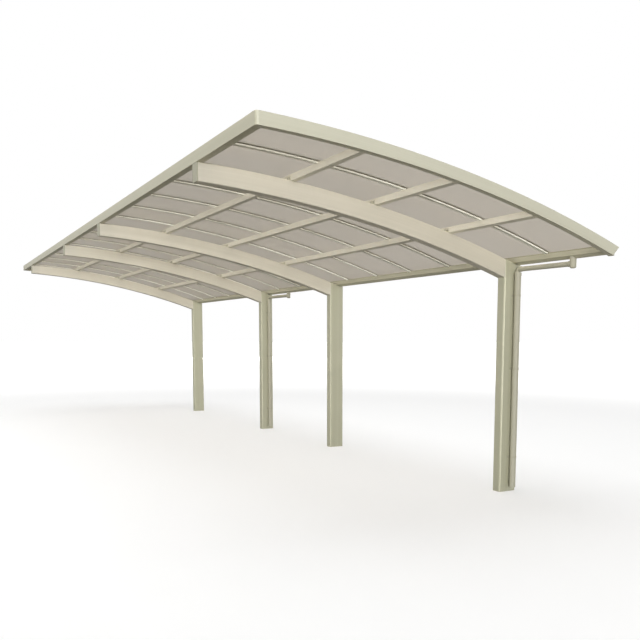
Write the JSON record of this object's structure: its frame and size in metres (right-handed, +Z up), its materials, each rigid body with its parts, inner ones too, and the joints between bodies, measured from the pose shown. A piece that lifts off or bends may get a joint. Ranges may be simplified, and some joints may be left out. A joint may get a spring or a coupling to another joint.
{
  "type": "cantilever carport",
  "caption": "Cantilever carport with posts along one side, curved tapering beams, purlins, a low arched roof of thin tinted sheets, an edge gutter and rainwater pipes.",
  "frame": {"origin": "centre of the front post's foot, on the ground", "axes": "+X across the roof from the free eave towards the post side, +Y along the carport from the front gable to the rear gable, +Z up"},
  "size_m": [2.853, 10, 2.5256],
  "materials": {
    "frame": "satin champagne anodised",
    "roof_sheet": "smoky translucent polycarbonate",
    "rain_pipe": "satin champagne",
    "end_cap": "satin champagne"
  },
  "bodies": {
    "root": {"beam_1": "frame", "beam_1_end_cap": "end_cap", "beam_2": "frame", "beam_2_end_cap": "end_cap", "beam_3": "frame", "beam_3_end_cap": "end_cap", "beam_4": "frame", "beam_4_end_cap": "end_cap", "downpipe_front": "rain_pipe", "downpipe_rear": "rain_pipe", "drain_link_front": "rain_pipe", "drain_link_rear": "rain_pipe", "drain_outlet_front": "rain_pipe", "drain_outlet_rear": "rain_pipe", "front_edge_bar": "frame", "front_gable_frame": "frame", "gutter_end_cap_front": "end_cap", "gutter_end_cap_rear": "end_cap", "gutter_rail_front": "frame", "gutter_rail_rear": "frame", "gutter_wall_front": "frame", "gutter_wall_rear": "frame", "left_eave_frame_front": "frame", "left_eave_frame_rear": "frame", "post_1": "frame", "post_2": "frame", "post_3": "frame", "post_4": "frame", "purlin_left_front": "frame", "purlin_left_rear": "frame", "purlin_middle_front": "frame", "purlin_middle_rear": "frame", "purlin_right_front": "frame", "purlin_right_rear": "frame", "rear_edge_bar": "frame", "rear_gable_frame": "frame", "roof_bars_front": "frame", "roof_bars_rear": "frame", "roof_sheets_front": "roof_sheet", "roof_sheets_rear": "roof_sheet", "unit_joint_bar": "frame"}
  },
  "joints": []
}
